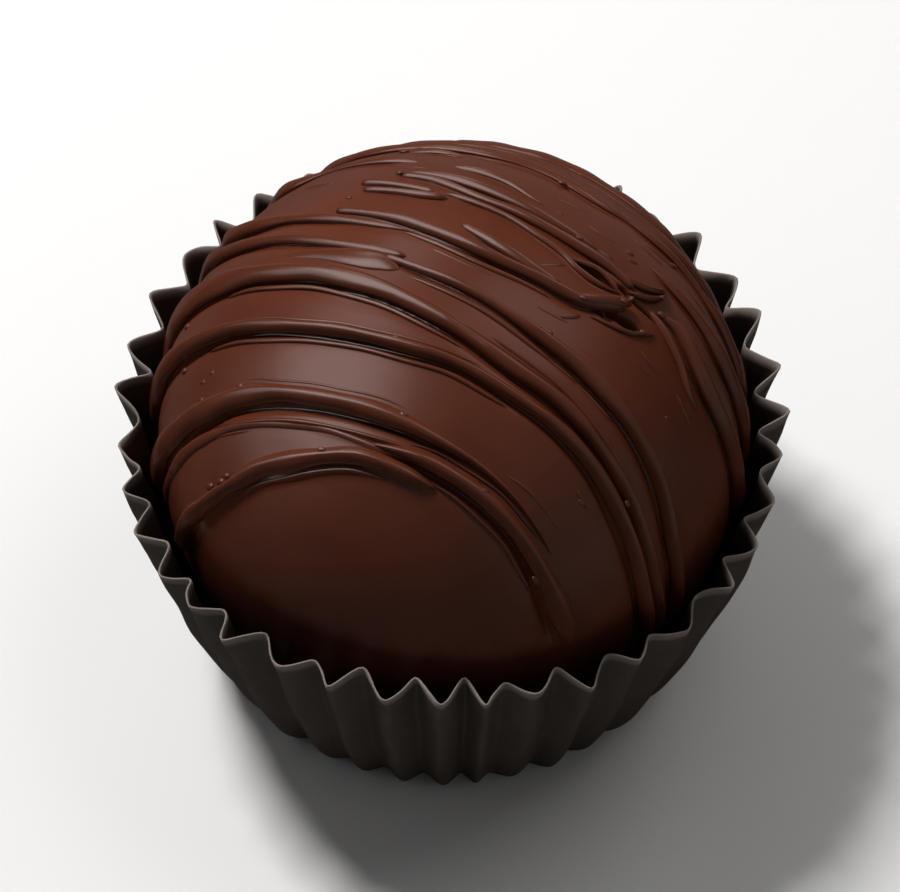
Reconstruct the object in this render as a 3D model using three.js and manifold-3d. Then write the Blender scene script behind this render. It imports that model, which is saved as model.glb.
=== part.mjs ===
// Dark chocolate bonbon with chocolate drizzled over it, sitting in a fluted paper case.
// Millimetres, +Z up. The origin is the middle of the case's flat base, on the table.
import * as THREE from "three";
import { mergeVertices } from "three/addons/utils/BufferGeometryUtils.js";
import Module from "manifold-3d";

const wasm = await Module();
wasm.setup();
const radians = THREE.MathUtils.degToRad;

// Driving dimensions of the chocolate ball
const BALL_RADIUS = 22;
const FOOT_DEPTH = 19.6; // from the ball's centre down to the flat that it set on
const BALL_SEGMENTS = 48;
const BALL_RINGS = 24;

// Slow swells of the coating: height in mm, waves along x, y and z for each radius, and phase
const COATING_SWELLS = [
  { height: 0.1, waves: new THREE.Vector3(2.3, 1.9, 0), phase: 1.1 },
  { height: 0.07, waves: new THREE.Vector3(0, 3.1, 2.2), phase: 0.7 },
  { height: 0.05, waves: new THREE.Vector3(-2.6, 0, 3.7), phase: 1.6 },
];

// Driving dimensions of the paper case
const BASE_RADIUS = 17.3;
const RIM_RADIUS = 24.5;
const RIM_HEIGHT = 22;
const PAPER = 0.36; // wall as a solid, thicker than real paper
const FLUTES = 38;
const FLUTE_AT_BASE = 0.4; // how far a fold stands out of the wall's middle, and in
const FLUTE_AT_RIM = 0.95;
const COLUMNS_PER_FLUTE = 4; // one on each crest and valley, and one between them
const WALL_ROWS = 5;
const ROW_CROWDING = 1.4; // over 1, the rows crowd towards the base
const WALL_BULGE = 0.68; // under 1, the wall leans out early, round the ball
const SQUARENESS = 0.25; // the rim is this much wider towards the four corners of its cell
const CORNERS = 4;

// Unevenness round the case, as waves: size, how many go round, and phase
const FOLD_DRIFT = [
  { size: 0.9, rate: 2, shift: -2.8 },
  { size: 0.6, rate: 5, shift: 0.9 },
];
const FOLD_STRENGTH = [
  { size: 0.13, rate: 3, shift: 0.5 },
  { size: 0.09, rate: 7, shift: 0 },
];
const RIM_LIFT = [{ size: 0.35, rate: 3, shift: 1.3 }];

const REST_GAP = 0.3; // between the case's floor and the ball's foot
const BALL_CENTRE_HEIGHT = PAPER + REST_GAP + FOOT_DEPTH;

// The drizzle was swung to and fro in straight lines, all near one heading in plan
const DRIZZLE_HEADING = radians(-26);
const ALONG = new THREE.Vector3(Math.cos(DRIZZLE_HEADING), Math.sin(DRIZZLE_HEADING), 0);
const ACROSS = new THREE.Vector3(-ALONG.y, ALONG.x, 0);
const UP = new THREE.Vector3(0, 0, 1);
const OFFSET_ANGLE = radians(70); // where a strand's end offsets are measured
const STRAND_SIDES = 6;
const STRAND_STEP = radians(8);
const STRAND_SINK = 0.22; // share of a strand's half width that lies under the coating
const END_TAPER = radians(9);
const END_THINNING = 0.55; // share of its width that a strand loses at its ends
const END_SINK = 1.02; // over 1, the end of a strand lies wholly under the coating
const STRAND_PHASE = 2.4; // from one strand to the next, so that no two wander alike

// Unevenness along a strand, as waves: size, rate in waves for each radian, share of its phase
const WANDER = [
  { size: 0.1, rate: 3.1, shift: 1 },
  { size: 0.06, rate: 7.3, shift: 2 },
];
const SWELLING = [
  { size: 0.14, rate: 5.3, shift: 1 },
  { size: 0.08, rate: 11.7, shift: -1 },
];

// Each strand: offset across the ball at its left, middle and right, its width, and how far
// it reaches down each side, in degrees from the top
const STRANDS = [
  { offsets: [-17.6, -14.8, -13.4], width: 1.7, reach: [-88, 24] },
  { offsets: [-14.6, -13.9, -13.6], width: 1.3, reach: [-92, 88] },
  { offsets: [-13.2, -12.1, -12.6], width: 1.9, reach: [-96, 60] },
  { offsets: [-8.0, -7.4, -7.2], width: 1.5, reach: [-97, 98] },
  { offsets: [-3.4, -4.3, -6.4], width: 1.9, reach: [-98, 98] },
  { offsets: [1.6, -1.3, -3.9], width: 1.4, reach: [-98, 96] },
  { offsets: [4.2, 1.9, 8.6], width: 1.4, reach: [-97, 37] },
  { offsets: [5.0, 5.6, 5.6], width: 0.9, reach: [-30, -6] },
  { offsets: [6.0, 6.5, 3.6], width: 1.1, reach: [-24, 62] },
  { offsets: [7.4, 8.2, 5.2], width: 1.4, reach: [-36, 97] },
  { offsets: [8.7, 10.1, 8.8], width: 1.2, reach: [-97, 97] },
  { offsets: [12.2, 13.7, 12.8], width: 1.3, reach: [-95, 95] },
  { offsets: [14.8, 16.0, 15.6], width: 1.7, reach: [-93, 93] },
  { offsets: [17.7, 18.1, 17.6], width: 1.6, reach: [-88, 90] },
];

// Curls where a strand broke and folded over itself: place on the ball, bend and width
const CURLS = [
  { offset: 3.6, angle: 36, radius: 1.5, from: -100, sweep: 150, width: 1.0 },
  { offset: 6.9, angle: 38, radius: 1.7, from: -60, sweep: 130, width: 1.1 },
];
const CURL_STEPS = 9;
const CURL_THINNING = 0.45; // share of its width that a curl loses at its ends

const MERGE_DISTANCE = 1e-4;
const AXIS_DISTANCE = 1e-6; // nearer to the axis than this, a point has no angle

const CHOCOLATE = new THREE.MeshStandardMaterial({ color: 0x3b1e15, roughness: 0.42, metalness: 0 });
const CASE_PAPER = new THREE.MeshStandardMaterial({ color: 0x2c2621, roughness: 0.6, metalness: 0 });

function waveSum(waves, angle, phase = 1) {
  return waves.reduce((sum, { size, rate, shift }) => sum + size * Math.sin(rate * angle + shift * phase), 0);
}

// A closed three.js geometry as a solid that can be cut and joined
function solidOf(geometry) {
  geometry.deleteAttribute("normal");
  geometry.deleteAttribute("uv");
  const merged = mergeVertices(geometry, MERGE_DISTANCE);
  const mesh = new wasm.Mesh({
    numProp: 3,
    vertProperties: merged.attributes.position.array,
    triVerts: new Uint32Array(merged.index.array),
  });
  return new wasm.Manifold(mesh);
}

// The joined solid's outer skin alone: hollows that joining sealed are filled, scraps dropped
function outerSkin(solid) {
  const bodies = solid.decompose();
  return bodies.reduce((largest, body) => (body.volume() > largest.volume() ? body : largest));
}

function geometryOf(solid) {
  const { vertProperties, triVerts } = solid.getMesh();
  const geometry = new THREE.BufferGeometry();
  geometry.setAttribute("position", new THREE.BufferAttribute(vertProperties, 3));
  geometry.setIndex(new THREE.BufferAttribute(triVerts, 1));
  geometry.computeVertexNormals();
  return geometry;
}

// The coating's surface in a direction from the ball's centre, flat where the ball stood
function onCoating(direction) {
  const swell = COATING_SWELLS.reduce(
    (sum, { height, waves, phase }) => sum + height * Math.sin(waves.dot(direction) + phase),
    0,
  );
  const point = direction.clone().multiplyScalar(BALL_RADIUS + swell);
  point.z = Math.max(point.z, -FOOT_DEPTH);
  return point;
}

// Direction to a point that lies a distance across the drizzle and an angle down from the top
function drapedDirection(offset, angle) {
  const round = Math.sqrt(BALL_RADIUS ** 2 - offset ** 2);
  return new THREE.Vector3()
    .addScaledVector(ACROSS, offset)
    .addScaledVector(ALONG, round * Math.sin(angle))
    .addScaledVector(UP, round * Math.cos(angle))
    .normalize();
}

function ballSolid() {
  const geometry = new THREE.SphereGeometry(1, BALL_SEGMENTS, BALL_RINGS).rotateX(Math.PI / 2);
  const position = geometry.getAttribute("position");
  const direction = new THREE.Vector3();
  for (let i = 0; i < position.count; i++) {
    const point = onCoating(direction.fromBufferAttribute(position, i).normalize());
    position.setXYZ(i, point.x, point.y, point.z);
  }
  return solidOf(geometry);
}

// A round bead through stations {centre, normal, radius}, closed at both ends
function beadSolid(stations) {
  const vertices = [];
  const faces = [];
  stations.forEach(({ centre, normal, radius }, i) => {
    const before = stations[Math.max(i - 1, 0)].centre;
    const after = stations[Math.min(i + 1, stations.length - 1)].centre;
    const tangent = after.clone().sub(before).normalize();
    const side = new THREE.Vector3().crossVectors(normal, tangent).normalize();
    for (let k = 0; k < STRAND_SIDES; k++) {
      const turn = ((k + 0.5) / STRAND_SIDES) * 2 * Math.PI;
      const rim = centre
        .clone()
        .addScaledVector(side, radius * Math.cos(turn))
        .addScaledVector(normal, radius * Math.sin(turn));
      vertices.push(rim.x, rim.y, rim.z);
    }
  });
  for (let i = 0; i + 1 < stations.length; i++) {
    for (let k = 0; k < STRAND_SIDES; k++) {
      const next = (k + 1) % STRAND_SIDES;
      const a = i * STRAND_SIDES + k;
      const b = i * STRAND_SIDES + next;
      faces.push(a, b, a + STRAND_SIDES, b, b + STRAND_SIDES, a + STRAND_SIDES);
    }
  }
  const last = (stations.length - 1) * STRAND_SIDES;
  for (let k = 1; k + 1 < STRAND_SIDES; k++) {
    faces.push(0, k + 1, k, last, last + k, last + k + 1);
  }
  const geometry = new THREE.BufferGeometry();
  geometry.setAttribute("position", new THREE.Float32BufferAttribute(vertices, 3));
  geometry.setIndex(faces);
  return solidOf(geometry);
}

// A strand draped over the ball: it wanders, swells and thins, and sinks away at its ends
function strandStations({ offsets: [left, middle, right], width, reach }, index) {
  const [from, to] = reach.map(radians);
  const steps = Math.ceil((to - from) / STRAND_STEP);
  const phase = STRAND_PHASE * index;
  const bend = (left + right) / 2 - middle;
  const stations = [];
  for (let i = 0; i <= steps; i++) {
    const angle = from + ((to - from) * i) / steps;
    const share = Math.sin(angle) / Math.sin(OFFSET_ANGLE);
    const drift = ((right - left) / 2) * share + bend * share ** 2;
    const normal = drapedDirection(middle + drift + waveSum(WANDER, angle, phase), angle);
    const fullness = Math.min(1, (angle - from) / END_TAPER, (to - angle) / END_TAPER);
    const thickness = (1 + waveSum(SWELLING, angle, phase)) * (1 - END_THINNING * (1 - fullness));
    const radius = (width / 2) * thickness;
    const sink = radius * THREE.MathUtils.lerp(END_SINK, STRAND_SINK, fullness);
    const centre = onCoating(normal).addScaledVector(normal, -sink);
    stations.push({ centre, normal, radius });
  }
  return stations;
}

// A short curl of drizzle, an arc on the coating about its own middle
function curlStations({ offset, angle, radius: bend, from, sweep, width }) {
  const stations = [];
  for (let i = 0; i <= CURL_STEPS; i++) {
    const share = i / CURL_STEPS;
    const turn = radians(from + sweep * share);
    const normal = drapedDirection(
      offset + bend * Math.sin(turn),
      radians(angle) + (bend * Math.cos(turn)) / BALL_RADIUS,
    );
    const radius = (width / 2) * (1 - CURL_THINNING * (1 - Math.sin(Math.PI * share)));
    const centre = onCoating(normal).addScaledVector(normal, -STRAND_SINK * radius);
    stations.push({ centre, normal, radius });
  }
  return stations;
}

function bonbonGeometry() {
  const beads = [...STRANDS.map(strandStations), ...CURLS.map(curlStations)];
  const joined = beads.reduce((solid, stations) => solid.add(beadSolid(stations)), ballSolid());
  return geometryOf(outerSkin(joined));
}

// Points of the case's wall from the base's edge up to the rim, to one side of its middle
function wallPoints(side) {
  const points = [];
  for (let row = 0; row <= WALL_ROWS; row++) {
    const share = (row / WALL_ROWS) ** ROW_CROWDING;
    const radius = BASE_RADIUS + (RIM_RADIUS - BASE_RADIUS) * share ** WALL_BULGE;
    points.push(new THREE.Vector2(radius + side, RIM_HEIGHT * share));
  }
  return points;
}

// The case is a lathed cup of constant wall, whose wall is then folded into flutes
function caseGeometry() {
  const outside = wallPoints(PAPER / 2);
  const inside = wallPoints(-PAPER / 2);
  inside[0].y = PAPER;
  const floorMiddle = new THREE.Vector2(0, PAPER);
  const profile = [new THREE.Vector2(0, 0), ...outside, ...inside.reverse(), floorMiddle];
  const geometry = new THREE.LatheGeometry(profile, FLUTES * COLUMNS_PER_FLUTE).rotateX(Math.PI / 2);
  const position = geometry.getAttribute("position");
  for (let i = 0; i < position.count; i++) {
    const radius = Math.hypot(position.getX(i), position.getY(i));
    if (radius < AXIS_DISTANCE) continue;
    const angle = Math.atan2(position.getY(i), position.getX(i));
    const turned = angle - waveSum(FOLD_DRIFT, angle) / FLUTES;
    const share = THREE.MathUtils.clamp(position.getZ(i) / RIM_HEIGHT, 0, 1);
    const depth = THREE.MathUtils.lerp(FLUTE_AT_BASE, FLUTE_AT_RIM, share);
    const fold = depth * (1 + waveSum(FOLD_STRENGTH, angle)) * Math.sin(FLUTES * angle);
    const folded = radius - SQUARENESS * share * Math.cos(CORNERS * turned) + fold;
    const height = position.getZ(i) + waveSum(RIM_LIFT, turned) * share ** 3;
    position.setXYZ(i, folded * Math.cos(turned), folded * Math.sin(turned), height);
  }
  return geometryOf(solidOf(geometry));
}

const part = new THREE.Group();
const paperCase = new THREE.Mesh(caseGeometry(), CASE_PAPER);
paperCase.name = "paper_case";
const bonbon = new THREE.Mesh(bonbonGeometry(), CHOCOLATE);
bonbon.name = "bonbon";
bonbon.position.z = BALL_CENTRE_HEIGHT;
part.add(paperCase, bonbon);

export default part;
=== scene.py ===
# Dark chocolate bonbon with chocolate drizzled over it, in a fluted paper case.
# Shapes are worked out in millimetres and stored in metres, +Z up, in the frame of the solids.
import math

import bpy
import numpy as np
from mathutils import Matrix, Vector


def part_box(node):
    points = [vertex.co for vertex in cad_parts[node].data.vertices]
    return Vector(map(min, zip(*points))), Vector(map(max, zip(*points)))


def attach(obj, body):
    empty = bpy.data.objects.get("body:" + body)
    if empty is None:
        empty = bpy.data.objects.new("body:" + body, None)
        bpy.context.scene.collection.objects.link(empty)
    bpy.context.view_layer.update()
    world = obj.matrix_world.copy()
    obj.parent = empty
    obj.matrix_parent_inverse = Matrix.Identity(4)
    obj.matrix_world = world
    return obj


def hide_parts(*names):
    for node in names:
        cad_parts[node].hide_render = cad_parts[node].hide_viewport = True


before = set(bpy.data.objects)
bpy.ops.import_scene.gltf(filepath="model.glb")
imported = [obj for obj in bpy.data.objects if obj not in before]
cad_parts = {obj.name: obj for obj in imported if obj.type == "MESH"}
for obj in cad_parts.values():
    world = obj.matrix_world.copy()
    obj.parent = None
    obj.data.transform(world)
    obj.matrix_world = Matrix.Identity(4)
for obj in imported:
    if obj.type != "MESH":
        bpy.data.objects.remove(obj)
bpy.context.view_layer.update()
MM = 0.001

# Driving dimensions of the chocolate ball, as its solid has them
BALL_RADIUS = 22.0
FOOT_DEPTH = 19.6
BALL_CENTRE_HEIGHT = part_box("bonbon")[0].z / MM + FOOT_DEPTH
COATING_SWELLS = [  # size in mm, radians along x, y and z for each radius, and shift
    (0.1, (2.3, 1.9, 0.0), 1.1),
    (0.07, (0.0, 3.1, 2.2), 0.7),
    (0.05, (-2.6, 0.0, 3.7), 1.6),
]

# Driving dimensions of the paper case, as its solid has them
BASE_RADIUS = 17.3
RIM_RADIUS = 24.5
RIM_HEIGHT = 22.0
FLUTES = 38
FLUTE_AT_BASE = 0.4  # how far a fold stands out of the wall's middle, and in
FLUTE_AT_RIM = 0.95
WALL_BULGE = 0.68  # under 1, the wall leans out early, round the ball
SQUARENESS = 0.25  # the rim is this much wider towards four corners
CORNERS = 4

# The wall is thinner than its solid's, and its folds are rounder
PAPER = 0.13  # thickness of the wall
FOLD_SHARPNESS = 0.86  # nearer to 1, the folds are sharper

# Unevenness round the case, as waves of size, number and shift: how far the folds drift sideways, where
# 2 pi is a whole fold, the share by which they are deeper, and how far the rim rises in mm
FOLD_DRIFT = [(0.9, 2, -2.8), (0.6, 5, 0.9), (0.35, 13, 0.4), (0.2, 23, 1.9)]
FOLD_STRENGTH = [(0.13, 3, 0.5), (0.09, 7, 0.0), (0.16, 11, 1.0), (0.14, 17, 2.0)]
RIM_LIFT = [(0.35, 3, 1.3), (0.22, 19, 0.6), (0.18, 31, 2.2)]
RIM_LIFT_POWER = 3  # the rise begins near the rim

# Crinkles of the wall, as waves: size in mm, number round the case, and radians from base to rim
CRINKLES = [(0.1, 23, 9.0), (0.08, 57, -14.0), (0.05, 91, 21.0)]

# Mesh of the case
FLUTE_COLUMNS = 16  # for each fold
WALL_ROWS = 26
WALL_ROW_SPACING = 1.3  # power that brings its rows closer together near the base
FLOOR_RINGS = 5
FLOOR_RING_SHARES = (0.96, 0.2)  # outermost and innermost ring, as shares of the base

# The drizzle was swung to and fro in straight lines, all near one heading in plan
DRIZZLE_HEADING = math.radians(-26)
ALONG = np.array([math.cos(DRIZZLE_HEADING), math.sin(DRIZZLE_HEADING), 0.0])
ACROSS = np.array([-ALONG[1], ALONG[0], 0.0])
UP = np.array([0.0, 0.0, 1.0])

# Each strand runs through a few places: degrees from the top, offset across the ball in mm, and its
# width there in mm. The number before them is how tall it is for its width, next to the usual 1.
# Strands are listed from the front of the ball to its back.
STRANDS = {
    "front_low": (1.0, [
        (-97, -17.1, 1.1), (-70, -17.4, 1.2), (-52, -17.5, 1.1), (-41, -17.15, 1.15),
        (-30, -16.5, 1.25), (-20, -16.0, 1.4), (-10, -15.3, 1.3), (0, -14.75, 1.15), (10, -14.55, 0.95),
        (21, -14.5, 0.55),
    ]),
    "front_lip": (0.65, [
        (-46, -18.0, 0.25), (-34, -17.4, 0.35), (-22, -16.92, 0.4), (-10, -16.25, 0.4),
        (0, -15.65, 0.35), (9, -15.35, 0.25),
    ]),
    "front_soft": (0.4, [
        (-96, -14.2, 0.8), (-70, -14.6, 0.8), (-52, -14.45, 0.75), (-40, -14.3, 0.65),
        (-25, -14.15, 0.6), (-12, -14.0, 0.6), (0, -13.95, 0.6), (12, -13.8, 0.5),
    ]),
    "front_thin": (1.0, [
        (1, -13.9, 0.45), (7, -13.7, 0.7), (13, -13.45, 1.0), (22, -13.25, 1.1), (34, -13.25, 1.1),
        (46, -13.45, 1.15), (56, -13.8, 1.3), (66, -14.1, 1.5), (82, -14.3, 1.3),
    ]),
    "front_fine": (0.9, [
        (-47, -14.15, 0.3), (-30, -14.0, 0.35), (-20, -13.9, 0.4), (-10, -13.75, 0.35), (0, -13.6, 0.4),
        (10, -13.25, 0.4), (18, -12.95, 0.35), (30, -12.65, 0.3),
    ]),
    "front_main": (1.1, [
        (-98, -12.6, 1.6), (-75, -13.0, 1.7), (-60, -13.1, 1.7), (-50, -12.95, 1.6), (-40, -12.65, 1.4),
        (-28, -12.45, 1.3), (-15, -12.25, 1.25), (-4, -12.05, 1.25), (8, -11.85, 1.1), (18, -11.9, 0.8),
        (29, -11.95, 0.55), (38, -12.15, 0.4), (46, -12.5, 0.35), (55, -12.9, 0.3),
    ]),
    "front_trail": (0.5, [
        (31, -11.4, 0.3), (38, -11.2, 0.35), (45, -11.35, 0.3), (52, -11.6, 0.25),
    ]),
    "middle_low": (1.15, [
        (-98, -7.6, 1.2), (-72, -7.8, 1.3), (-58, -8.0, 1.2), (-48, -8.0, 1.05), (-36, -7.9, 0.9),
        (-22, -7.85, 0.85), (-10, -7.65, 0.85), (0, -7.35, 0.8), (10, -6.95, 0.75), (22, -6.8, 0.85),
        (35, -6.75, 0.9), (46, -7.1, 0.95), (58, -7.8, 1.0), (70, -8.35, 1.0), (98, -8.7, 1.0),
    ]),
    "middle_thick": (1.0, [
        (-98, -2.9, 1.9), (-72, -3.3, 1.9), (-58, -3.5, 1.8), (-48, -3.6, 1.6), (-36, -3.7, 1.35),
        (-22, -3.75, 1.3), (-10, -3.9, 1.2), (0, -4.3, 1.1), (10, -4.75, 1.0), (22, -5.2, 1.0),
        (33, -5.3, 1.0), (45, -5.8, 0.95), (57, -6.5, 0.9), (70, -7.25, 0.9), (98, -7.8, 1.0),
    ]),
    "thick_edge": (0.8, [
        (13, -4.0, 0.3), (22, -4.3, 0.45), (32, -4.4, 0.5), (42, -4.9, 0.45), (52, -5.6, 0.4),
        (60, -6.1, 0.3),
    ]),
    "lens": (0.35, [
        (-35, -2.1, 0.3), (-27, -1.85, 0.9), (-19, -1.8, 1.4), (-12, -1.8, 1.2), (-8, -2.05, 0.4),
    ]),
    "middle_high": (0.8, [
        (-97, 3.0, 1.0), (-75, 1.8, 1.0), (-60, 0.5, 0.9), (-48, -0.1, 0.8), (-36, -0.5, 0.7),
        (-22, -0.9, 0.6), (-14, -0.9, 0.6), (-8, -0.75, 0.5),
    ]),
    "middle_cross": (1.1, [
        (-13, -1.2, 0.4), (-5, -1.4, 0.55), (5, -1.55, 0.65), (15, -1.85, 0.75), (25, -2.1, 0.95),
        (36, -2.3, 1.1), (47, -2.85, 1.0), (58, -3.75, 0.95), (70, -4.95, 0.9), (97, -6.0, 0.9),
    ]),
    "upper_left": (0.8, [
        (-97, 5.8, 1.1), (-75, 4.4, 1.0), (-60, 2.6, 1.0), (-50, 1.95, 0.9), (-40, 1.85, 0.7),
        (-30, 1.65, 0.6), (-19, 1.5, 0.4), (-11, 1.6, 0.35),
    ]),
    "knot_feed": (1.2, [
        (-29, 2.3, 0.4), (-22, 2.35, 0.5), (-14, 2.3, 0.6), (-7, 2.1, 0.65), (0, 2.0, 0.7),
        (8, 1.95, 0.7), (16, 2.1, 0.75), (21, 2.15, 0.75), (25, 2.35, 0.75), (29, 3.15, 0.75),
        (34.0, 4.5, 0.6),
    ]),
    "tongue": (0.7, [
        (23.5, 2.25, 0.3), (26, 2.7, 0.6), (29, 3.5, 0.75), (32, 4.3, 0.75), (34.4, 4.85, 0.5),
    ]),
    "ragged": (0.8, [
        (28.5, 1.9, 0.25), (32, 2.25, 0.3), (35, 2.65, 0.3), (37.5, 3.1, 0.3), (39.5, 3.75, 0.35),
        (42, 4.5, 0.25),
    ]),
    "fork": (0.85, [
        (-3, 3.8, 0.35), (1, 3.5, 0.55), (5, 3.25, 0.75), (9, 3.05, 0.85), (14, 2.8, 0.75),
        (21, 2.55, 0.5),
    ]),
    "short_high": (1.2, [
        (-29, 5.85, 0.35), (-21, 6.1, 0.4), (-11, 6.15, 0.35),
    ]),
    "short_low": (1.2, [
        (-27, 5.1, 0.35), (-20, 5.3, 0.4), (-12, 5.45, 0.4), (-8, 5.8, 0.4),
    ]),
    "top_hair": (1.1, [
        (-22, 7.4, 0.35), (-14, 7.5, 0.45), (-9, 7.3, 0.45), (-3, 7.1, 0.45), (5, 7.1, 0.5),
        (12, 7.0, 0.55), (20, 6.95, 0.6), (28, 6.9, 0.6), (34, 6.55, 0.5),
    ]),
    "top_thin": (1.1, [
        (-10, 6.45, 0.3), (-4, 6.4, 0.35), (5, 6.2, 0.35), (12, 5.75, 0.4), (18, 5.35, 0.35),
        (22, 4.85, 0.35), (27, 4.75, 0.4), (30, 5.05, 0.4), (32, 5.5, 0.35),
    ]),
    "hole_rim": (0.9, [
        (19, 5.4, 0.3), (22, 5.8, 0.35), (25.5, 6.15, 0.35), (28.5, 5.95, 0.35), (31.5, 5.5, 0.3),
    ]),
    "top_main": (0.95, [
        (-22, 8.1, 0.5), (-12, 8.2, 0.6), (-4, 8.2, 0.7), (5, 8.15, 0.65), (14, 7.95, 0.6),
        (24, 7.8, 0.45),
    ]),
    "hook_upper": (0.9, [
        (29, 6.85, 0.35), (33, 7.1, 0.5), (36, 7.5, 0.5), (39, 8.25, 0.45), (41.3, 9.0, 0.35),
    ]),
    "hook_lower": (1.1, [
        (33, 6.0, 0.25), (35, 6.25, 0.3), (37, 6.7, 0.32), (39, 7.35, 0.32), (40.3, 7.95, 0.3),
        (41.4, 8.7, 0.3),
    ]),
    "knot_right": (1.1, [
        (40, 6.3, 0.3), (43, 6.5, 0.5), (46, 6.6, 0.8), (50, 6.1, 1.0), (55, 5.5, 1.1), (60, 5.0, 1.1),
        (75, 4.5, 1.1), (96, 4.0, 1.0),
    ]),
    "knot_fine": (1.0, [
        (39, 6.2, 0.35), (43, 5.6, 0.45), (47, 4.9, 0.45), (50, 4.35, 0.45), (54, 3.4, 0.4),
        (59, 2.7, 0.3),
    ]),
    "back_hair": (1.0, [
        (-14, 10.15, 0.4), (-6, 10.2, 0.45), (0, 10.05, 0.45), (5, 9.6, 0.35), (10, 9.3, 0.3),
    ]),
    "back_first": (0.8, [
        (-97, 9.2, 1.1), (-70, 8.8, 1.0), (-54, 8.3, 0.8), (-46, 8.9, 0.3), (-38, 9.3, 0.4),
        (-30, 9.6, 0.5), (-22, 9.8, 0.3),
    ]),
    "back_right": (0.8, [
        (36, 10.2, 0.4), (44, 10.0, 0.6), (54, 9.6, 0.9), (66, 8.8, 1.0), (97, 8.2, 1.0),
    ]),
    "back_second": (0.75, [
        (-95, 12.6, 1.2), (-60, 12.2, 1.0), (-40, 12.4, 0.7), (-24, 13.2, 0.7), (-12, 13.5, 0.7),
        (-2, 13.8, 0.7), (8, 13.8, 0.6), (20, 13.4, 0.55), (28, 13.7, 0.3), (36, 13.8, 0.6),
        (43, 13.8, 0.6), (50, 13.5, 0.4), (65, 12.9, 0.9), (95, 12.2, 1.1),
    ]),
    "back_low": (0.8, [
        (-30, 11.8, 0.4), (-23, 12.1, 0.5), (-15, 12.3, 0.3),
    ]),
    "back_third": (0.5, [
        (-93, 14.6, 1.7), (-50, 15.0, 1.2), (-15, 15.8, 0.5), (15, 16.2, 0.4), (50, 15.8, 0.9),
        (93, 15.4, 1.6),
    ]),
    "back_last": (0.5, [
        (-88, 17.6, 1.5), (-45, 17.9, 1.5), (-5, 18.2, 1.2), (40, 17.9, 1.3), (90, 17.4, 1.4),
    ]),
}

# Hairs of chocolate between the strands: angle and offset of one end, then of the other, and width in mm
HAIRS = [
    (-52, -14.8, -34, -14.6, 0.25), (0.5, 2.75, 4, 2.35, 0.25), (14, 3.0, 19.5, 4.7, 0.25),
    (23, 0.1, 27, 1.4, 0.4), (18, 0.0, 26, 0.25, 0.25), (3, 9.8, 8, 9.5, 0.3),
    (19, 9.7, 27, 9.85, 0.25), (9, 11.0, 19, 11.4, 0.25), (30, 9.2, 33, 9.5, 0.3),
    (29, 9.9, 31.5, 10.0, 0.3), (33, 12.6, 43, 12.5, 0.3), (41.5, 12.6, 44.5, 13.3, 0.4),
    (23.5, 7.9, 28, 8.0, 0.35), (-24, 7.6, -16, 7.7, 0.35), (-20, 11.9, -15, 12.1, 0.3),
    (-31, 11.5, -27, 13.1, 0.45), (38, 1.4, 46, 1.3, 0.2), (40, 2.5, 47, 2.2, 0.25),
    (27, -0.9, 37, -1.1, 0.25), (46, -9.0, 52, -9.3, 0.25), (34, -3.3, 43, -3.6, 0.25),
    (22, -3.1, 33, -3.3, 0.2), (-46, 6.1, -36, 6.3, 0.25), (-28, 9.0, -18, 9.2, 0.2),
    (46, 12.0, 56, 11.3, 0.3), (52, 2.2, 60, 1.2, 0.25), (-8, -10.4, 3, -10.2, 0.15),
    (30, 11.9, 40, 11.6, 0.25), (12, 15.0, 26, 14.8, 0.3), (-5, 0.7, 9, 0.4, 0.2),
]
HAIR_RISE = 0.45  # how tall a hair is for its width, next to a strand's usual 1
HAIR_FADE = 0.45  # share of a hair's length over which each end fades

# Strands that end in the open, bluntly. The others fade into the coating, over more degrees.
BLUNT_ENDS = {"knot_feed", "short_low", "short_high", "fork", "middle_high", "middle_cross", "hook_upper",
              "hook_lower", "top_hair", "lens", "tongue"}
FADE = 9.0  # degrees over which an end fades
BLUNT_FADE = 2.0

# A strand's section leans uphill: its crest is near its upper side, its long face looks downhill and
# its foot is undercut. Places across are shares of the half width, heights are shares of its height.
TOP_PLACES = [1.0, 0.94, 0.82, 0.66, 0.5, 0.36, 0.2, 0.0, -0.25, -0.5, -0.72, -0.88, -0.97, -1.0]
UNDER_SECTION = [(-0.9, -0.1), (-0.5, -0.5), (0.4, -0.5), (0.9, -0.2)]
CREST = 0.36  # its place across
UPHILL_ROUND = (2.0, 0.6)  # powers of the curve from the crest to the upper foot
DOWNHILL_ROUND = (1.9, 0.64)  # and of the curve from the crest to the lower foot
FOOT_SHARE = 0.16  # height of the undercut foot's edge
STRAND_STEP = 0.9  # degrees between its stations
FEWEST_STATIONS = 8
END_WIDTH = 0.1  # share of the width left at a strand's end
SUNK_END = 1.05  # how deep a strand's end sinks, as a share of its height
TALLEST = 0.85  # greatest height in mm
STEEPNESS = 0.78  # height for each mm of width, where a strand's first number is 1
BROADEN = 1.12  # real width for each mm of the width seen from above

# Waves of size, rate and shift that make a strand uneven: its line in mm, and its width as a share
SWAY = [(0.05, 6.1, 0.0), (0.025, 13.7, 1.2)]
SWELLING = [(0.08, 9.3, 0.0), (0.06, 21.0, 2.0)]
STRAND_SHIFT = 2.4  # from one strand's waves to the next one's
HAIR_SHIFT = 1.7

# A lip, a fine ridge, runs just below the foot of some strands, between these angles
LIPS = {"front_thin": (19, 60), "middle_low": (-50, 24), "middle_thick": (-48, 10),
        "middle_cross": (-6, 28), "knot_feed": (-12, 20), "top_main": (-16, 6)}
LIP_GAP = 0.54  # from the strand's half width to the middle of the lip, in mm
LIP_WIDTH = 0.32  # in mm
LIP_RISE = 0.75  # how tall it is for its width, next to a strand's usual 1
LIP_FADE = 12.0  # degrees over which its ends fade

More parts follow.
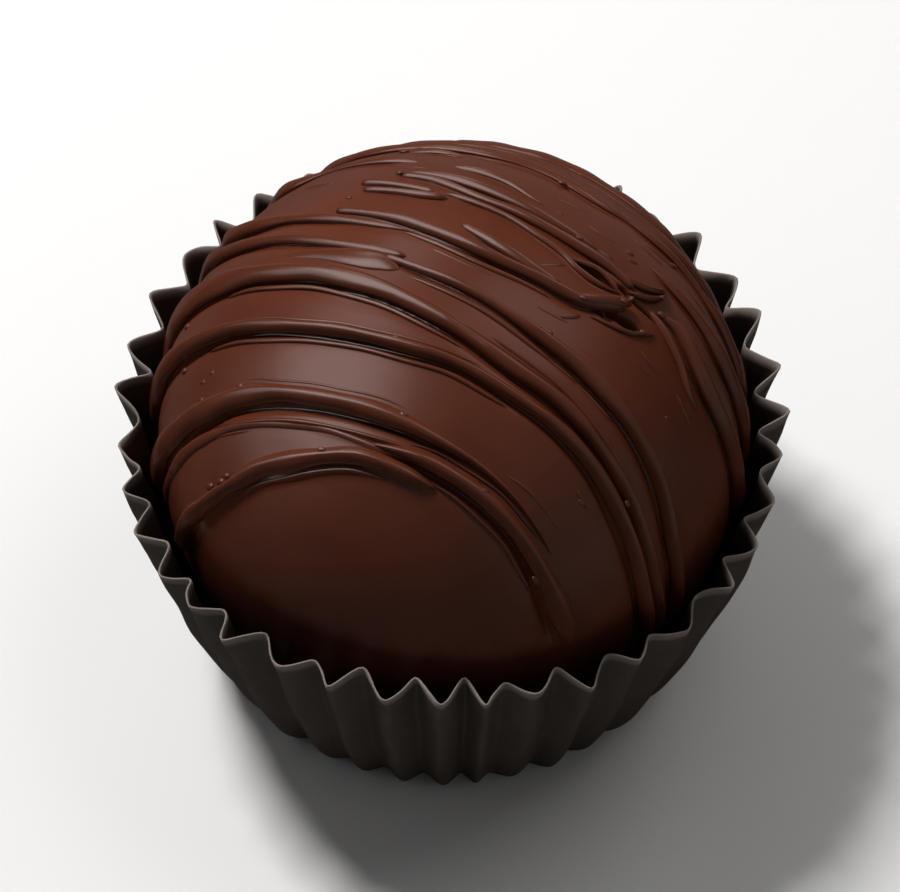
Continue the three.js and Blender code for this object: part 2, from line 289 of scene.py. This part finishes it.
# An edge, another fine ridge, runs along the upper side of some strands, between these angles. Its
# ends fade as a lip's do.
EDGES = {"front_main": (-38, 10), "middle_low": (-42, 16), "middle_thick": (4, 40),
         "front_thin": (8, 50), "middle_cross": (26, 60)}
EDGE_GAP = 0.1  # from the strand's broadened half width to the middle of the edge, in mm
EDGE_WIDTH = 0.26  # in mm
EDGE_RISE = 0.8  # how tall it is for its width, next to a strand's usual 1

# Strands that lie on another strand, and how far they are lifted in mm
LIFTS = {"tongue": 0.5, "hook_upper": 0.1, "hook_lower": 0.2, "ragged": 0.1}

# The coating banks up on the uphill side of each strand: height and reach in mm
BANKS = [(0.12, 0.35), (0.16, 1.5)]
BANK_FOOT = 0.25  # reach on the downhill side, hidden by the strand
BANK_FADE = 8.0  # degrees over which banks fade at a strand's ends
FULL_BANK_WIDTH = 1.2  # width of a strand from which its banks are full
BANK_POWER = 1.5  # how fast they shrink below that width

# At a strand's downhill foot the coating is smoother and sinks in a groove, measured in mm
GROOVE_DEPTH = 0.62
GROOVE_REACH = 0.24  # how far the groove and the smoothness spread to either side
GROOVE_GAP = 0.08  # from the strand's edge to the middle of the groove
FOOTED_RISE = 0.7  # only strands taller than this for their width have such a foot
UNGROOVED = {"front_low", "hook_upper", "ragged", "hole_rim"}  # these have the smooth foot alone

# Hollows between the crossed strands: degrees from the top, then offset, half length, half width and
# depth in mm
HOLLOWS = [
    (25.8, 5.55, 1.7, 0.38, 1.5), (32.6, 6.1, 0.6, 0.26, 1.3), (37.6, 5.8, 1.5, 0.24, 1.3),
    (30.3, 2.85, 0.8, 0.26, 1.1), (33.4, 3.4, 1.0, 0.3, 1.3), (36.4, 3.75, 0.9, 0.28, 1.2),
]

# Small blobs of chocolate: degrees from the top, then offset, half width, half height and lift over
# the bare coating in mm
BLOBS = [
    (-50, -12.35, 0.22, 0.1, 0.6), (-61, -9.4, 0.26, 0.18, 0), (-48.5, -10.6, 0.2, 0.1, 0),
    (-52, -11.0, 0.24, 0.12, 0), (6, -11.5, 0.2, 0.1, 0.6), (-64, -5.5, 0.26, 0.18, 0),
    (-2, -7.15, 0.2, 0.1, 0.7), (-43, 6.3, 0.28, 0.14, 0), (-28.5, 4.1, 0.18, 0.18, 0),
    (9, 13.2, 0.2, 0.2, 0.2), (57, -14.4, 0.3, 0.18, 0.3), (21.5, -5.4, 0.2, 0.16, 0.5),
    (23, -1.6, 0.22, 0.12, 0.6), (32.2, 4.25, 0.2, 0.12, 0.9), (25.2, 2.4, 0.18, 0.12, 0.7),
    (40.0, 7.65, 0.16, 0.1, 0.5), (39.2, 3.75, 0.2, 0.18, 0.2), (19, 7.2, 0.2, 0.1, 0.7),
    (41.5, 6.5, 0.24, 0.15, 0.2), (-31, 11.8, 0.3, 0.16, 0.1), (-52, -17.0, 0.3, 0.14, 0.6),
    (-46, -16.95, 0.28, 0.14, 0.65), (-43, -16.75, 0.24, 0.12, 0.65), (-10, -15.0, 0.22, 0.1, 0.75),
    (-22, 7.5, 0.2, 0.12, 0.3), (53, 0.0, 0.16, 0.08, 0), (49.5, -9.25, 0.22, 0.1, 0),
    (56.5, -7.0, 0.2, 0.1, 0.6), (13, 9.4, 0.18, 0.1, 0), (-36, -12.0, 0.2, 0.1, 0.65),
    (30.5, -12.9, 0.2, 0.08, 0.7),
]
BLOB_ROWS = 8
BLOB_COLUMNS = 12
BLOB_STRETCH = 1.6  # its length for each mm of its width

# Grid of the coating, its rows along the drizzle and its columns across, finest at the crossed strands:
# from and to in degrees, and the steps between them
ROW_SPANS = [(-90, -58, 20), (-58, 48, 350), (48, 90, 30)]
COLUMN_SPANS = [(-100, 18, 88), (18, 42, 54), (42, 100, 42), (100, 260, 34)]

# Chocolate. The drizzle sets a little glossier than the coating under it.
CHOCOLATE_DARK = (0.07, 0.016, 0.0064, 1)
CHOCOLATE_LIGHT = (0.086, 0.0202, 0.0084, 1)
COATING_ROUGHNESS = 0.35
COATING_IOR = 1.32
DRIZZLE_ROUGHNESS = 0.27
DRIZZLE_IOR = 1.4
FOOT_ROUGHNESS = 0.14
FULL_FOOT = 0.5  # nearness to a strand's foot from which the coating is all that smooth
MOTTLE_SCALE = 160
MOTTLE_DETAIL = 4
MOTTLE_ENDS = (0.3, 0.7)  # where the noise gives the dark and the light colour
GRAIN_SCALE = 1500
GRAIN_STRENGTH = 0.08
STREAK_SCALE = 900
STREAK_STRETCH = (0.08, 1, 0.08)  # streaks run along the drizzle
STREAK_STRENGTH = 0.35
BUMP_DETAIL = 3
BUMP_DISTANCE = 0.0001

# Paper of the case; the paler colour at the rim's cut edge is a painted highlight
PAPER_DARK = (0.041, 0.0295, 0.0235, 1)
PAPER_LIGHT = (0.066, 0.0485, 0.039, 1)
# Painted highlight: paler colour standing in for light caught by the cut edge
PAINTED_EDGE_HIGHLIGHT = (0.18, 0.147, 0.13, 1)
PAPER_ROUGHNESS = 0.6
PAPER_IOR = 1.3
FIBRE_SCALE = 700
FIBRE_DETAIL = 5

# Floor, its reach in mm from the middle to each side and its drop below the case in m
FLOOR_REACH = 420
FLOOR_DROP = 0.0001
FLOOR_COLOUR = (0.72, 0.71, 0.7, 1)
FLOOR_ROUGHNESS = 0.8

# Camera and lights, in metres and watts. The camera and each light look at the target.
TARGET = (0, 0, 0.019)
CAMERA_ELEVATION = math.radians(55)
CAMERA_DISTANCE = 0.65
SENSOR_WIDTH = 36  # in mm, as is the lens
LENS = 345
LIGHTS = [  # name, place, width and height, power, and whether it gives gloss, matt light or both
    ("key", (-0.26, 0.24, 0.57), (0.14, 0.14), 5.3, "matt"),
    ("fill", (0.3, 0.2, 0.56), (0.4, 0.4), 0.9, "both"),
    ("sky", (0, 0, 0.9), (1.4, 1.4), 0.6, "both"),
    ("ceiling", (0.1, 0.2, 0.8), (2.2, 2.2), 0.9, "gloss"),
    ("soft", (-0.42, -0.03, 0.5), (0.48, 0.48), 4.6, "gloss"),
    ("low_left", (-0.57, -0.06, 0.2), (0.3, 0.3), 0.75, "gloss"),
    ("back", (-0.15, 0.48, 0.42), (0.5, 0.25), 0.5, "matt"),
    ("back_gloss", (-0.2, 0.42, 0.46), (0.36, 0.14), 0.6, "gloss"),
    ("card_right", (0.5, -0.38, 0.22), (1.0, 1.0), 0.8, "both"),
    ("card_front", (-0.1, -0.8, 0.36), (0.9, 0.5), 0.3, "gloss"),
    ("card_back", (0.1, 0.7, 0), (1.6, 0.6), 0.35, "gloss"),
    ("table_glow", (0, 0.6, -0.25), (1.6, 0.9), 0.4, "gloss"),
]
WORLD_COLOUR = (1.0, 0.99, 0.98, 1)
WORLD_STRENGTH = 0.7


def wave_sum(waves, angle):
    """Sum of waves of (size, rate, shift) at angles in radians."""
    return sum(size * np.sin(rate * angle + shift) for size, rate, shift in waves)


def grid_line(spans):
    """Angles in radians along spans of (from, to, steps), each span's end left to the next."""
    pieces = [np.linspace(start, end, steps, endpoint=False) for start, end, steps in spans]
    return np.radians(np.concatenate(pieces))


def ease(share):
    """Share from 0 to 1 with a soft start and a soft end."""
    return share**2 * (3 - 2 * share)


def curve_through(places, at):
    """Smooth values at `at` through places of (position, value)."""
    knots = np.array([place[0] for place in places], float)
    values = np.array([place[1] for place in places], float)
    slopes = np.gradient(values, knots)
    k = np.clip(np.searchsorted(knots, at) - 1, 0, len(knots) - 2)
    step = knots[k + 1] - knots[k]
    u = np.clip((at - knots[k]) / step, 0, 1)
    start = (1 + 2 * u) * (1 - u) ** 2 * values[k] + u * (1 - u) ** 2 * step * slopes[k]
    end = ease(u) * values[k + 1] - u**2 * (1 - u) * step * slopes[k + 1]
    return start + end


def on_ball(latitude, angle):
    """Unit directions on the ball, latitude towards ACROSS and angle from the top towards ALONG."""
    return (
        np.sin(latitude)[..., None] * ACROSS
        + (np.cos(latitude) * np.sin(angle))[..., None] * ALONG
        + (np.cos(latitude) * np.cos(angle))[..., None] * UP
    )


def coating_radius(directions):
    """Distance from the ball's centre to the bare coating."""
    swell = 0
    for size, waves, shift in COATING_SWELLS:
        swell = swell + size * np.sin(directions @ np.array(waves) + shift)
    return BALL_RADIUS + swell


def line_of(places, degrees):
    """Offsets and widths of a strand at angles in degrees from the top."""
    offset = curve_through([(angle, across) for angle, across, _ in places], degrees)
    width = curve_through([(angle, wide) for angle, _, wide in places], degrees)
    return offset, width


def coating_beside_strands(across, degrees):
    """Height of banks and grooves, and nearness to a strand's foot from 0 to 1, at offsets and angles."""
    height = 0 * (across + degrees)
    foot = 0 * (across + degrees)
    for name, (rise, places) in STRANDS.items():
        end = np.minimum(degrees - places[0][0], places[-1][0] - degrees)
        offset, width = line_of(places, degrees)
        size = ease(np.clip(end / BANK_FADE, 0, 1)) * np.clip(width / FULL_BANK_WIDTH, 0, 1) ** BANK_POWER
        beyond = across - offset
        downhill = np.exp(-((np.minimum(beyond, 0) / BANK_FOOT) ** 2))
        for tall, reach in BANKS:
            height = height + size * tall * downhill * np.exp(-np.maximum(beyond, 0) / reach)
        if rise > FOOTED_RISE:
            from_groove = beyond + BROADEN * width / 2 + GROOVE_GAP
            share = size * np.exp(-np.abs(from_groove) / GROOVE_REACH)
            foot = foot + share
            if name not in UNGROOVED:
                height = height - GROOVE_DEPTH * share
    return height, np.clip(foot, 0, 1)


def strand_section():
    """The section's outline once round, as (place across, height) pairs."""
    outline = []
    for place in TOP_PLACES:
        if place > CREST:
            way = (place - CREST) / (1 - CREST)
            outer, inner = UPHILL_ROUND
        else:
            way = (CREST - place) / (1 + CREST)
            outer, inner = DOWNHILL_ROUND
        outline.append((place, FOOT_SHARE + (1 - FOOT_SHARE) * (1 - way**outer) ** inner))
    return outline + UNDER_SECTION


def add_strand(vertices, faces, degrees, offset, width, rise, fade, lift=0.0):
    """Adds one strand that runs over the ball through offsets at angles in degrees."""
    directions = on_ball(np.arcsin(offset / BALL_RADIUS), np.radians(degrees))
    surface = directions * coating_radius(directions)[:, None]
    along = np.gradient(surface, axis=0)
    along /= np.linalg.norm(along, axis=1, keepdims=True)
    side = np.cross(directions, along)
    fullness = np.clip(np.minimum(degrees - degrees[0], degrees[-1] - degrees) / fade, 0, 1)
    fullness = np.sqrt(1 - (1 - fullness) ** 2)
    half_width = BROADEN * width / 2 * (END_WIDTH + (1 - END_WIDTH) * fullness)
    height = np.minimum(STEEPNESS * rise * BROADEN * width, TALLEST)
    sunk = SUNK_END * height * (1 - fullness)
    outline = strand_section()
    first = sum(len(ring) for ring in vertices)
    stations = len(degrees)
    for across, tall in outline:
        out = lift + tall * height - sunk
        vertices.append(surface + side * (across * half_width)[:, None] + directions * out[:, None])
    for k in range(len(outline)):
        here = first + k * stations
        there = first + (k + 1) % len(outline) * stations
        for i in range(stations - 1):
            faces.append((here + i, there + i, there + i + 1, here + i + 1))


def strand_line(places, shift, start, end):
    """Stations along a strand with the slight unevenness of a poured one."""
    degrees = np.linspace(start, end, max(int((end - start) / STRAND_STEP), FEWEST_STATIONS))
    angle = np.radians(degrees)
    offset, width = line_of(places, degrees)
    offset = offset + wave_sum(SWAY, angle + shift)
    width = width * (1 + wave_sum(SWELLING, angle - shift))
    return degrees, offset, width


def make_drizzle():
    vertices, faces = [], []
    for index, (name, (rise, places)) in enumerate(STRANDS.items()):
        shift = STRAND_SHIFT * index
        degrees, offset, width = strand_line(places, shift, places[0][0], places[-1][0])
        fade = BLUNT_FADE if name in BLUNT_ENDS else FADE
        add_strand(vertices, faces, degrees, offset, width, rise, fade, LIFTS.get(name, 0.0))
        if name in LIPS:
            degrees, offset, width = strand_line(places, shift, *LIPS[name])
            below = offset - width / 2 - LIP_GAP
            add_strand(vertices, faces, degrees, below, LIP_WIDTH + 0 * width, LIP_RISE, LIP_FADE)
        if name in EDGES:
            degrees, offset, width = strand_line(places, shift, *EDGES[name])
            above = offset + BROADEN * width / 2 + EDGE_GAP
            add_strand(vertices, faces, degrees, above, EDGE_WIDTH + 0 * width, EDGE_RISE, LIP_FADE)
    for index, (start, start_offset, end, end_offset, width) in enumerate(HAIRS):
        middle = ((start + end) / 2, (start_offset + end_offset) / 2, width)
        places = [(start, start_offset, width), middle, (end, end_offset, width)]
        degrees, offset, width = strand_line(places, HAIR_SHIFT * index, start, end)
        add_strand(vertices, faces, degrees, offset, width, HAIR_RISE, HAIR_FADE * (end - start))
    points = np.concatenate(vertices)
    points[:, 2] += BALL_CENTRE_HEIGHT
    return mesh_object("drizzle_dressed", points, faces)


def mesh_object(name, vertices, faces):
    """New smooth object from vertices in mm."""
    mesh = bpy.data.meshes.new(name)
    mesh.from_pydata((np.asarray(vertices) * MM).tolist(), [], faces)
    mesh.validate()
    mesh.polygons.foreach_set("use_smooth", [True] * len(mesh.polygons))
    piece = bpy.data.objects.new(name, mesh)
    bpy.context.scene.collection.objects.link(piece)
    return piece


def mark_vertices(piece, name, values):
    """Stores a number at each vertex, for the material to read."""
    attribute = piece.data.attributes.new(name, "FLOAT", "POINT")
    attribute.data.foreach_set("value", values)


def grid_faces(rows, columns, first=0):
    """Quads between rows of vertices that close round on themselves."""
    faces = []
    for i in range(rows - 1):
        for j in range(columns):
            a = first + i * columns + j
            b = first + i * columns + (j + 1) % columns
            faces.append((a, b, b + columns, a + columns))
    return faces


def fan_faces(centre, ring, columns, flip):
    """Triangles from a centre to a ring of vertices."""
    faces = []
    for j in range(columns):
        a, b = ring + j, ring + (j + 1) % columns
        faces.append((centre, b, a) if flip else (centre, a, b))
    return faces


def make_coating():
    latitude = grid_line(ROW_SPANS)[1:]
    angle = grid_line(COLUMN_SPANS)
    directions = on_ball(latitude[:, None] + 0 * angle, angle + 0 * latitude[:, None])
    degrees = (np.degrees(angle) + 180) % 360 - 180
    across = BALL_RADIUS * np.sin(latitude)[:, None]
    height, foot = coating_beside_strands(across, degrees[None, :])
    radius = coating_radius(directions) + height
    arc = BALL_RADIUS * np.cos(latitude)[:, None] * math.pi / 180  # length of one degree
    for place, offset, half_length, half_width, depth in HOLLOWS:
        reach = ((degrees - place) * arc / half_length) ** 2
        reach = reach + ((across - offset) / half_width) ** 2
        radius = radius - depth * np.exp(-(reach**2))
    poles = np.array([-ACROSS, ACROSS])
    points = directions * radius[..., None]
    points = np.concatenate([points.reshape(-1, 3), poles * coating_radius(poles)[:, None]])
    points[:, 2] = np.maximum(points[:, 2], -FOOT_DEPTH)
    points[:, 2] += BALL_CENTRE_HEIGHT
    rows, columns = len(latitude), len(angle)
    front_pole, back_pole = rows * columns, rows * columns + 1
    faces = grid_faces(rows, columns)
    faces += fan_faces(front_pole, 0, columns, flip=True)
    faces += fan_faces(back_pole, (rows - 1) * columns, columns, flip=False)
    coating = mesh_object("coating_dressed", points, faces)
    mark_vertices(coating, "strand_foot", np.append(foot.ravel(), [0, 0]))
    return coating


def make_blobs():
    vertices, faces = [], []
    for place, across, size, height, lift in BLOBS:
        direction = on_ball(np.array(math.asin(across / BALL_RADIUS)), np.array(math.radians(place)))
        centre = direction * (coating_radius(direction) + lift)
        along = np.cross(ACROSS, direction)
        along /= np.linalg.norm(along)
        side = np.cross(direction, along)
        first = len(vertices)
        for i in range(1, BLOB_ROWS):
            down = math.pi * i / BLOB_ROWS
            for j in range(BLOB_COLUMNS):
                turn = 2 * math.pi * j / BLOB_COLUMNS
                flat = along * math.cos(turn) * BLOB_STRETCH + side * math.sin(turn)
                vertices.append(centre + flat * size * math.sin(down) + direction * height * math.cos(down))
        faces += [tuple(reversed(face)) for face in grid_faces(BLOB_ROWS - 1, BLOB_COLUMNS, first)]
        faces.append(tuple(range(first, first + BLOB_COLUMNS)))
    points = np.array(vertices)
    points[:, 2] += BALL_CENTRE_HEIGHT
    return mesh_object("blobs_dressed", points, faces)


def case_middle(share, angle):
    """Points in the middle of the folded wall: share 0 at the base's edge and 1 at the rim."""
    turned = angle - wave_sum(FOLD_DRIFT, angle) / FLUTES
    fold = np.arcsin(FOLD_SHARPNESS * np.sin(FLUTES * angle)) / math.asin(FOLD_SHARPNESS)
    depth = FLUTE_AT_BASE + (FLUTE_AT_RIM - FLUTE_AT_BASE) * share
    radius = BASE_RADIUS + (RIM_RADIUS - BASE_RADIUS) * share**WALL_BULGE
    radius = radius - SQUARENESS * share * np.cos(CORNERS * turned)
    radius = radius + depth * (1 + wave_sum(FOLD_STRENGTH, angle)) * fold
    for size, around, upward in CRINKLES:
        radius = radius + size * share * np.sin(around * angle + upward * share)
    height = RIM_HEIGHT * share + wave_sum(RIM_LIFT, turned) * share**RIM_LIFT_POWER
    return np.stack([radius * np.cos(turned), radius * np.sin(turned), height], axis=-1)


def make_case():
    columns = FLUTES * FLUTE_COLUMNS
    angle = np.linspace(0, 2 * math.pi, columns, endpoint=False)[None, :]
    share = (np.linspace(0, 1, WALL_ROWS) ** WALL_ROW_SPACING)[:, None]
    wall = case_middle(share + 0 * angle, angle + 0 * share)
    around = np.roll(wall, -1, axis=1) - np.roll(wall, 1, axis=1)
    upward = np.gradient(wall, axis=0)
    normal = np.cross(around, upward)
    normal /= np.linalg.norm(normal, axis=-1, keepdims=True)
    outside = wall + normal * PAPER / 2
    inside = wall - normal * PAPER / 2
    outside[0, :, 2] = 0
    inside[0, :, 2] = PAPER
    floor_shares = np.linspace(*FLOOR_RING_SHARES, FLOOR_RINGS)
    under = [outside[0] * ring for ring in floor_shares]
    over = [inside[0] * [ring, ring, 1] for ring in floor_shares]
    rings = [*under[::-1], *outside, *inside[::-1], *over]
    vertices = np.concatenate([*rings, [[0, 0, 0]], [[0, 0, PAPER]]])
    count = len(rings)
    bottom, top = count * columns, count * columns + 1
    faces = grid_faces(count, columns)
    faces += fan_faces(bottom, 0, columns, flip=True)
    faces += fan_faces(top, (count - 1) * columns, columns, flip=False)
    case = mesh_object("paper_case_dressed", vertices, faces)
    # Mask for the painted highlight along the cut edge of the rim
    rim = np.zeros((count, columns))  # 1 on the two rings at the cut edge
    rim[FLOOR_RINGS + WALL_ROWS - 1 : FLOOR_RINGS + WALL_ROWS + 1] = 1
    mark_vertices(case, "rim", np.append(rim.ravel(), [0, 0]))
    return case


def new_material(name, roughness):
    """New material, its node tree and its shader."""
    material = bpy.data.materials.new(name)
    material.use_nodes = True
    tree = material.node_tree
    shader = tree.nodes["Principled BSDF"]
    shader.inputs["Roughness"].default_value = roughness
    return material, tree, shader


def add_noise(tree, place, scale, detail):
    noise = tree.nodes.new("ShaderNodeTexNoise")
    noise.inputs["Scale"].default_value = scale
    noise.inputs["Detail"].default_value = detail
    tree.links.new(place, noise.inputs["Vector"])
    return noise.outputs["Fac"]


def add_colours(tree, share, dark, light, ends=(0, 1)):
    """Colour that goes from dark to light as the share goes from one end to the other."""
    colours = tree.nodes.new("ShaderNodeValToRGB")
    for element, end, colour in zip(colours.color_ramp.elements, ends, (dark, light)):
        element.position = end
        element.color = colour
    tree.links.new(share, colours.inputs["Fac"])
    return colours.outputs["Color"]


def add_bump(tree, height, strength):
    bump = tree.nodes.new("ShaderNodeBump")
    bump.inputs["Strength"].default_value = strength
    bump.inputs["Distance"].default_value = BUMP_DISTANCE
    tree.links.new(height, bump.inputs["Height"])
    return bump


def make_chocolate(name, roughness, ior):
    """Mottled chocolate with a fine grain, and streaks along the drizzle."""
    material, tree, shader = new_material(name, roughness)
    shader.inputs["IOR"].default_value = ior
    place = tree.nodes.new("ShaderNodeTexCoord").outputs["Object"]
    mottle = add_noise(tree, place, MOTTLE_SCALE, MOTTLE_DETAIL)
    colour = add_colours(tree, mottle, CHOCOLATE_DARK, CHOCOLATE_LIGHT, MOTTLE_ENDS)
    tree.links.new(colour, shader.inputs["Base Color"])
    turn = tree.nodes.new("ShaderNodeMapping")
    turn.inputs["Rotation"].default_value = (0, 0, -DRIZZLE_HEADING)
    tree.links.new(place, turn.inputs["Vector"])
    stretch = tree.nodes.new("ShaderNodeMapping")
    stretch.inputs["Scale"].default_value = STREAK_STRETCH
    tree.links.new(turn.outputs["Vector"], stretch.inputs["Vector"])
    grain = add_noise(tree, place, GRAIN_SCALE, BUMP_DETAIL)
    grain_bump = add_bump(tree, grain, GRAIN_STRENGTH)
    streaks = add_noise(tree, stretch.outputs["Vector"], STREAK_SCALE, BUMP_DETAIL)
    streak_bump = add_bump(tree, streaks, STREAK_STRENGTH)
    tree.links.new(grain_bump.outputs["Normal"], streak_bump.inputs["Normal"])
    tree.links.new(streak_bump.outputs["Normal"], shader.inputs["Normal"])
    return material


def smooth_feet(material):
    """Makes the coating's chocolate smoother at the strands' feet."""
    tree = material.node_tree
    foot = tree.nodes.new("ShaderNodeAttribute")
    foot.attribute_name = "strand_foot"
    roughness = tree.nodes.new("ShaderNodeMapRange")
    roughness.inputs["From Max"].default_value = FULL_FOOT
    roughness.inputs["To Min"].default_value = COATING_ROUGHNESS
    roughness.inputs["To Max"].default_value = FOOT_ROUGHNESS
    tree.links.new(foot.outputs["Fac"], roughness.inputs["Value"])
    tree.links.new(roughness.outputs["Result"], tree.nodes["Principled BSDF"].inputs["Roughness"])


def make_case_paper():
    """Dark fibrous paper, with a painted highlight along its cut edge at the rim."""
    material, tree, shader = new_material("case_paper", PAPER_ROUGHNESS)
    shader.inputs["IOR"].default_value = PAPER_IOR
    place = tree.nodes.new("ShaderNodeTexCoord").outputs["Object"]
    fibre = add_noise(tree, place, FIBRE_SCALE, FIBRE_DETAIL)
    colour = add_colours(tree, fibre, PAPER_DARK, PAPER_LIGHT)
    # The rim's rings get a painted highlight, a paler colour in place of light caught by the cut edge
    rim = tree.nodes.new("ShaderNodeAttribute")
    rim.attribute_name = "rim"
    edge_highlight_mix = tree.nodes.new("ShaderNodeMix")
    edge_highlight_mix.data_type = "RGBA"
    edge_highlight_mix.inputs["B"].default_value = PAINTED_EDGE_HIGHLIGHT
    tree.links.new(rim.outputs["Fac"], edge_highlight_mix.inputs["Factor"])
    tree.links.new(colour, edge_highlight_mix.inputs["A"])
    tree.links.new(edge_highlight_mix.outputs["Result"], shader.inputs["Base Color"])
    return material


def make_floor():
    corners = [(x * FLOOR_REACH, y * FLOOR_REACH, 0) for x, y in ((-1, -1), (1, -1), (1, 1), (-1, 1))]
    floor = mesh_object("floor", corners, [(0, 1, 2, 3)])
    floor.location.z = -FLOOR_DROP
    floor.visible_glossy = False
    floor.visible_shadow = False
    material, _, shader = new_material("floor", FLOOR_ROUGHNESS)
    shader.inputs["Base Color"].default_value = FLOOR_COLOUR
    floor.data.materials.append(material)


def aim(thing):
    direction = Vector(TARGET) - thing.location
    thing.rotation_euler = direction.to_track_quat("-Z", "Y").to_euler()


def make_camera():
    data = bpy.data.cameras.new("camera")
    data.sensor_width = SENSOR_WIDTH
    data.lens = LENS
    camera = bpy.data.objects.new("camera", data)
    backward = Vector((0, -math.cos(CAMERA_ELEVATION), math.sin(CAMERA_ELEVATION)))
    camera.location = Vector(TARGET) + backward * CAMERA_DISTANCE
    bpy.context.scene.collection.objects.link(camera)
    aim(camera)
    bpy.context.scene.camera = camera


def make_light(name, place, size, power, gives):
    data = bpy.data.lights.new(name, "AREA")
    data.shape = "RECTANGLE"
    data.size, data.size_y = size
    data.energy = power
    light = bpy.data.objects.new(name, data)
    light.location = place
    light.visible_glossy = gives in ("gloss", "both")
    light.visible_diffuse = gives in ("matt", "both")
    light.visible_camera = False
    bpy.context.scene.collection.objects.link(light)
    aim(light)


def make_world():
    """A pale surrounding for the camera alone, which lights nothing."""
    world = bpy.data.worlds.new("world")
    world.use_nodes = True
    background = world.node_tree.nodes["Background"]
    background.inputs["Color"].default_value = WORLD_COLOUR
    background.inputs["Strength"].default_value = WORLD_STRENGTH
    world.cycles_visibility.diffuse = False
    world.cycles_visibility.glossy = False
    bpy.context.scene.world = world


bpy.context.scene.view_settings.view_transform = "Standard"

coating_chocolate = make_chocolate("coating_chocolate", COATING_ROUGHNESS, COATING_IOR)
smooth_feet(coating_chocolate)
drizzle_chocolate = make_chocolate("drizzle_chocolate", DRIZZLE_ROUGHNESS, DRIZZLE_IOR)
dressed = [
    (make_coating(), coating_chocolate),
    (make_drizzle(), drizzle_chocolate),
    (make_blobs(), drizzle_chocolate),
]
for piece, material in dressed:
    piece.data.materials.append(material)
    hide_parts("bonbon")
    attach(piece, "root")

case = make_case()
case.data.materials.append(make_case_paper())
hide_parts("paper_case")
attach(case, "root")

make_floor()
make_camera()
for light in LIGHTS:
    make_light(*light)
make_world()
